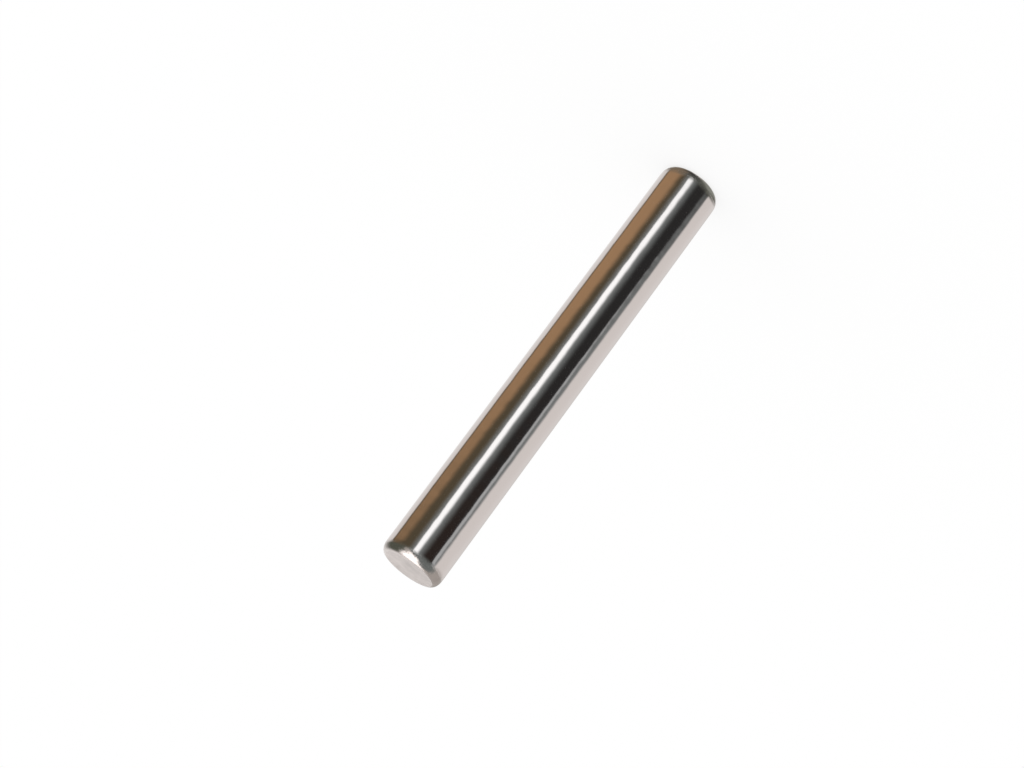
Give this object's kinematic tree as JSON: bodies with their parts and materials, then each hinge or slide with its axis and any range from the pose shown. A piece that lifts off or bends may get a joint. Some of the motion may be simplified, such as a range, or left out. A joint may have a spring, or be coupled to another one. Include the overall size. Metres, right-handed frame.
{
  "type": "needle roller",
  "caption": "Slim solid needle roller of polished bearing steel: a long ground cylinder with rounded shoulders and flat end faces.",
  "frame": {"origin": "centre of the lower flat end face, on the roller's axis", "axes": "+Z along the roller's axis, from the lower end face to the upper one; the roller is round about Z, so X and Y are free"},
  "size_m": [0.004, 0.004, 0.0306],
  "materials": {
    "polished_steel": "polished"
  },
  "bodies": {
    "root": {"needle_roller": "polished_steel"}
  },
  "joints": []
}
